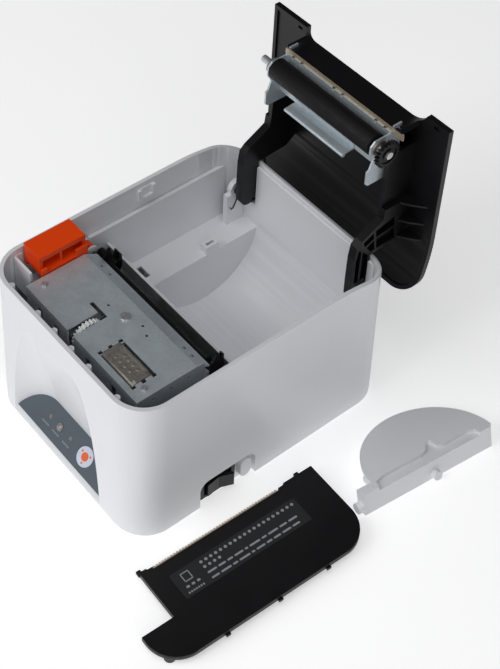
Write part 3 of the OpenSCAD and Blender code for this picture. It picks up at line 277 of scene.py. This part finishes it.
def add_piece(name, mesh, body, slot, material=None):
    """Puts a mesh in the scene as a piece of the object."""
    obj = bpy.data.objects.new(name, mesh)
    bpy.context.scene.collection.objects.link(obj)
    mesh.materials.clear()
    mesh.materials.append(material or FINISH[slot])
    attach(obj, body)
    return obj


def with_soft_edges(node, width):
    """Stands for a CAD node with the same shape, its sharp edges rounded to width."""
    mesh = NODES[node].data.copy()
    work = bmesh.new()
    work.from_mesh(mesh)
    bmesh.ops.remove_doubles(work, verts=work.verts, dist=WELD_DISTANCE)
    bmesh.ops.dissolve_limit(work, angle_limit=FLAT_ANGLE, verts=work.verts, edges=work.edges)
    work.to_mesh(mesh)
    work.free()
    temporary = bpy.data.objects.new(node + "_work", mesh)
    bpy.context.scene.collection.objects.link(temporary)
    bevel = temporary.modifiers.new("edges", "BEVEL")
    bevel.width = width
    bevel.segments = 2
    bevel.limit_method = "ANGLE"
    bevel.angle_limit = SHARP_ANGLE
    bevel.harden_normals = True
    bevel.use_clamp_overlap = True
    done = finished_mesh(temporary)
    bpy.data.objects.remove(temporary)
    done.name = node + "_soft"
    obj = add_piece(node + "_soft", done, BODY_OF[node], SLOTS[node])
    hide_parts(node)


SOFT_EDGES = {
    "housing": 0.6 * MM,
    "paper_bucket": 0.5 * MM,
    "lid_cover": 0.8 * MM,
    "front_cover": 0.7 * MM,
    "release_lever": 0.7 * MM,
    "lever_bracket": 0.3 * MM,
    "paper_divider": 0.9 * MM,
    "cutter_cover": 0.18 * MM,
    "mechanism_chassis": 0.3 * MM,
    "guide_bar": 0.25 * MM,
    "power_rocker": 0.5 * MM,
    "switch_body": 0.3 * MM,
    "feed_button": 0.8 * MM,
    "left_hook": 0.25 * MM,
    "right_hook": 0.25 * MM,
    "platen_bracket": 0.15 * MM,
    "cutter_motor": 0.4 * MM,
    "control_panel": 0.15 * MM,
    "platen_roller": 0.3 * MM,
    "base_plate": 0.4 * MM,
}

for node, obj in NODES.items():
    obj.data.materials.clear()
    obj.data.materials.append(FINISH[SLOTS[node]])
NODES["cover_label"].data.materials[0] = COVER_FILM
for node, width in SOFT_EDGES.items():
    with_soft_edges(node, width)


# Printed marks and pressed details --------------------------------------------------------------

# How far printed ink stands above its film, and the label's turn from the X axis in degrees
INK_HEIGHT = 0.03 * MM
LABEL_TURN = 88


class Sheet:
    """Gathers thin raised marks drawn on a flat face, given by its origin and two directions."""

    def __init__(self, origin, right, up, height):
        self.origin = Vector(origin)
        self.right = Vector(right).normalized()
        self.up = Vector(up).normalized()
        self.out = self.right.cross(self.up)
        self.height = height
        self.work = bmesh.new()

    def place(self, x, y, z):
        """The point at x and y on the face and z above it."""
        return self.origin + x * self.right + y * self.up + z * self.out

    def prism(self, outline, inner=1.0):
        """A raised patch; inner below 1 draws the top smaller, about the patch's middle."""
        mid_x, mid_y = [sum(point[i] for point in outline) / len(outline) for i in (0, 1)]
        top = [(mid_x + inner * (x - mid_x), mid_y + inner * (y - mid_y)) for x, y in outline]
        low = [self.work.verts.new(self.place(x, y, 0)) for x, y in outline]
        high = [self.work.verts.new(self.place(x, y, self.height)) for x, y in top]
        self.work.faces.new(high)
        self.work.faces.new(low[::-1])
        for k in range(len(low)):
            after = (k + 1) % len(low)
            self.work.faces.new((low[k], low[after], high[after], high[k]))

    def bar(self, x, y, length, width):
        """A bar with cut corners that starts at x, with y along its middle."""
        cut = 0.35 * width
        half = width / 2
        right = x + length
        self.prism([
            (x, y - half + cut), (x + cut, y - half), (right - cut, y - half),
            (right, y - half + cut), (right, y + half - cut), (right - cut, y + half),
            (x + cut, y + half), (x, y + half - cut),
        ])

    def disc(self, x, y, radius, sides, inner=1.0):
        """A round patch with its middle at x and y."""
        turn = 2 * math.pi / sides
        angles = [k * turn for k in range(sides)]
        self.prism([(x + radius * math.cos(a), y + radius * math.sin(a)) for a in angles], inner)

    def finish(self, name, body, slot, material=None):
        """Puts all the marks in the scene as one piece."""
        mesh = bpy.data.meshes.new(name)
        self.work.to_mesh(mesh)
        self.work.free()
        return add_piece(name, mesh, body, slot, material)


def greeked_row(sheet, start, end, y, lengths, width, gap):
    """A row of blank bars that stands for a line of small print."""
    x = start
    for length in itertools.cycle(lengths):
        if x + length > end:
            break
        sheet.bar(x, y, length, width)
        x += length + gap


def label_print():
    """Blank print on the front cover's label: a frame at one end and four rows of bars."""
    turn = math.radians(LABEL_TURN)
    right = Vector((math.cos(turn), math.sin(turn), 0))
    up = Vector((-math.sin(turn), math.cos(turn), 0))
    middle = Vector((120.5 * MM, -57 * MM, 9.2 * MM)) + 5.2 * MM * right + 8.1 * MM * up
    sheet = Sheet(middle, right, up, INK_HEIGHT)
    for y in (0.6, 5.8):
        sheet.bar(-38.6 * MM, y * MM, 5.6 * MM, 0.6 * MM)
    for x in (-38.6, -33.6):
        corners = [(x, 1.1), (x + 0.6, 1.1), (x + 0.6, 5.3), (x, 5.3)]
        sheet.prism([(cx * MM, cy * MM) for cx, cy in corners])
    # Two short rows below the frame, then the rows of blocks and of words beside it
    greeked_row(sheet, -40 * MM, -30 * MM, -2.6 * MM, (2.2 * MM,), 1.5 * MM, 1.4 * MM)
    greeked_row(sheet, -41 * MM, -29 * MM, -6.2 * MM, (1.1 * MM,), 1.5 * MM, 0.5 * MM)
    start, end = -25 * MM, 42 * MM
    greeked_row(sheet, start, end, 5.7 * MM, (1.9 * MM,), 1.9 * MM, 1.5 * MM)
    greeked_row(sheet, start, -10 * MM, 2.1 * MM, (1.9 * MM,), 1.9 * MM, 1.5 * MM)
    words = [length * MM for length in (6.2, 5.0, 3.8, 6.0, 2.2, 7.4, 3.4, 7.0, 5.2)]
    greeked_row(sheet, start, end, -2.0 * MM, words, 1.2 * MM, 1.2 * MM)
    greeked_row(sheet, start, end, -5.9 * MM, words[::-1], 1.2 * MM, 1.2 * MM)
    sheet.finish("label_print", "loose_cover", "slate_label", PALE_INK)


def panel_print():
    """Blank marks below the three lights, and an orange disc with three dots on the badge."""
    slope = Vector((0, math.cos(math.pi / 4), math.sin(math.pi / 4)))
    corner = Vector((-6 * MM, -93.5 * MM, 5 * MM))
    out = Vector((1, 0, 0)).cross(slope)
    sheet = Sheet(corner + 0.9 * MM * out, (1, 0, 0), slope, INK_HEIGHT)
    for x in (-18.5, -8.4, 2.0):
        start, end = (x - 3.4) * MM, (x + 3.6) * MM
        greeked_row(sheet, start, end, 6.2 * MM, (0.9 * MM,), 1.5 * MM, 0.45 * MM)
    sheet.finish("panel_print", "base", "slate_label", PALE_INK)
    badge = Sheet(corner + 1.3 * MM * out, (1, 0, 0), slope, INK_HEIGHT)
    badge_x, badge_y, ring_r = 18, 10.4, 4.1
    badge.disc(badge_x * MM, badge_y * MM, 2.7 * MM, 32)
    for turn in (0.6, 2.7, 4.8):
        x = badge_x + ring_r * math.cos(turn)
        y = badge_y + ring_r * math.sin(turn)
        badge.disc(x * MM, y * MM, 0.7 * MM, 16)
    badge.finish("badge_mark", "base", "badge", ORANGE_INK)


def motor_dimples():
    """Two rows of low pressed studs on the top of the cutter motor."""
    sheet = Sheet((0, 0, 104.2 * MM), (1, 0, 0), (0, 1, 0), 0.22 * MM)
    for x in (23.5, 27.7, 31.9, 36.1):
        for y, shift in ((-71.0, 0), (-67.0, 2.1)):
            sheet.disc((x + shift) * MM, y * MM, 1.35 * MM, 6, inner=0.55)
    sheet.finish("motor_studs", "base", "dark_steel")


label_print()
panel_print()
motor_dimples()

# Stage --------------------------------------------------------------------------------------


OBJECT_MIDDLE = (0.0, 0.0, 0.08)
FLOOR_HALF = 4.0
FLOOR_GLOW = 0.46
WORLD_COLOR = (0.95, 0.97, 1, 1)
WORLD_STRENGTH = 0.07
# Each studio light: its name, place, side length and power
LIGHTS = [
    ("key", (-0.35, -1.75, 1.35), 1.3, 19),
    ("side", (1.75, -0.75, 1.45), 1.3, 8),
    ("top", (0.35, -0.45, 2.1), 1.2, 10),
]


def area_light(name, place, size, power):
    """A square soft light that faces the middle of the object."""
    light = bpy.data.lights.new(name, "AREA")
    light.shape = "RECTANGLE"
    light.size = size
    light.size_y = size
    light.energy = power
    obj = bpy.data.objects.new(name, light)
    obj.location = place
    aim = Vector(OBJECT_MIDDLE) - Vector(place)
    obj.rotation_euler = aim.to_track_quat("-Z", "Y").to_euler()
    bpy.context.scene.collection.objects.link(obj)


def pale_floor():
    """A plain floor that glows a little, so that it stays pale round the object."""
    mesh = bpy.data.meshes.new("floor")
    corners = [(-1, -1), (1, -1), (1, 1), (-1, 1)]
    mesh.from_pydata([(FLOOR_HALF * x, FLOOR_HALF * y, 0) for x, y in corners], [], [(0, 1, 2, 3)])
    floor = bpy.data.objects.new("floor", mesh)
    bpy.context.scene.collection.objects.link(floor)
    shade = Shade("pale_floor", (0.86, 0.86, 0.865), 0.7)
    shade.tint(shade.noise(0.5, 2), 0.01)
    shade.bsdf.inputs["Emission Color"].default_value = (1, 1, 1, 1)
    shade.bsdf.inputs["Emission Strength"].default_value = FLOOR_GLOW
    mesh.materials.append(shade.material)


def studio_world():
    """A faint even light from all sides."""
    world = bpy.data.worlds.new("studio")
    bpy.context.scene.world = world
    world.use_nodes = True
    background = world.node_tree.nodes["Background"]
    background.inputs["Color"].default_value = WORLD_COLOR
    background.inputs["Strength"].default_value = WORLD_STRENGTH


def photo_camera(azimuth, elevation, lens, distance, target, shift):
    """The camera at the photograph's viewing angle, turned by azimuth from the front."""
    data = bpy.data.cameras.new("camera")
    data.sensor_width = 36
    data.lens = lens
    data.shift_x, data.shift_y = shift
    data.clip_start, data.clip_end = 0.05, 30
    obj = bpy.data.objects.new("camera", data)
    az, el = math.radians(azimuth), math.radians(elevation)
    back = Vector((math.sin(az) * math.cos(el), -math.cos(az) * math.cos(el), math.sin(el)))
    obj.location = Vector(target) + distance * back
    obj.rotation_euler = (math.pi / 2 - el, 0, az)
    bpy.context.scene.collection.objects.link(obj)
    bpy.context.scene.camera = obj


pale_floor()
for name, place, size, power in LIGHTS:
    area_light(name, place, size, power)
studio_world()
bpy.context.scene.view_settings.view_transform = "Standard"
photo_camera(
    azimuth=52.5, elevation=43.5, lens=82.52, distance=1.3548,
    target=(-0.3183, 0.2210, -0.1799), shift=(0.136, -0.2504),
)
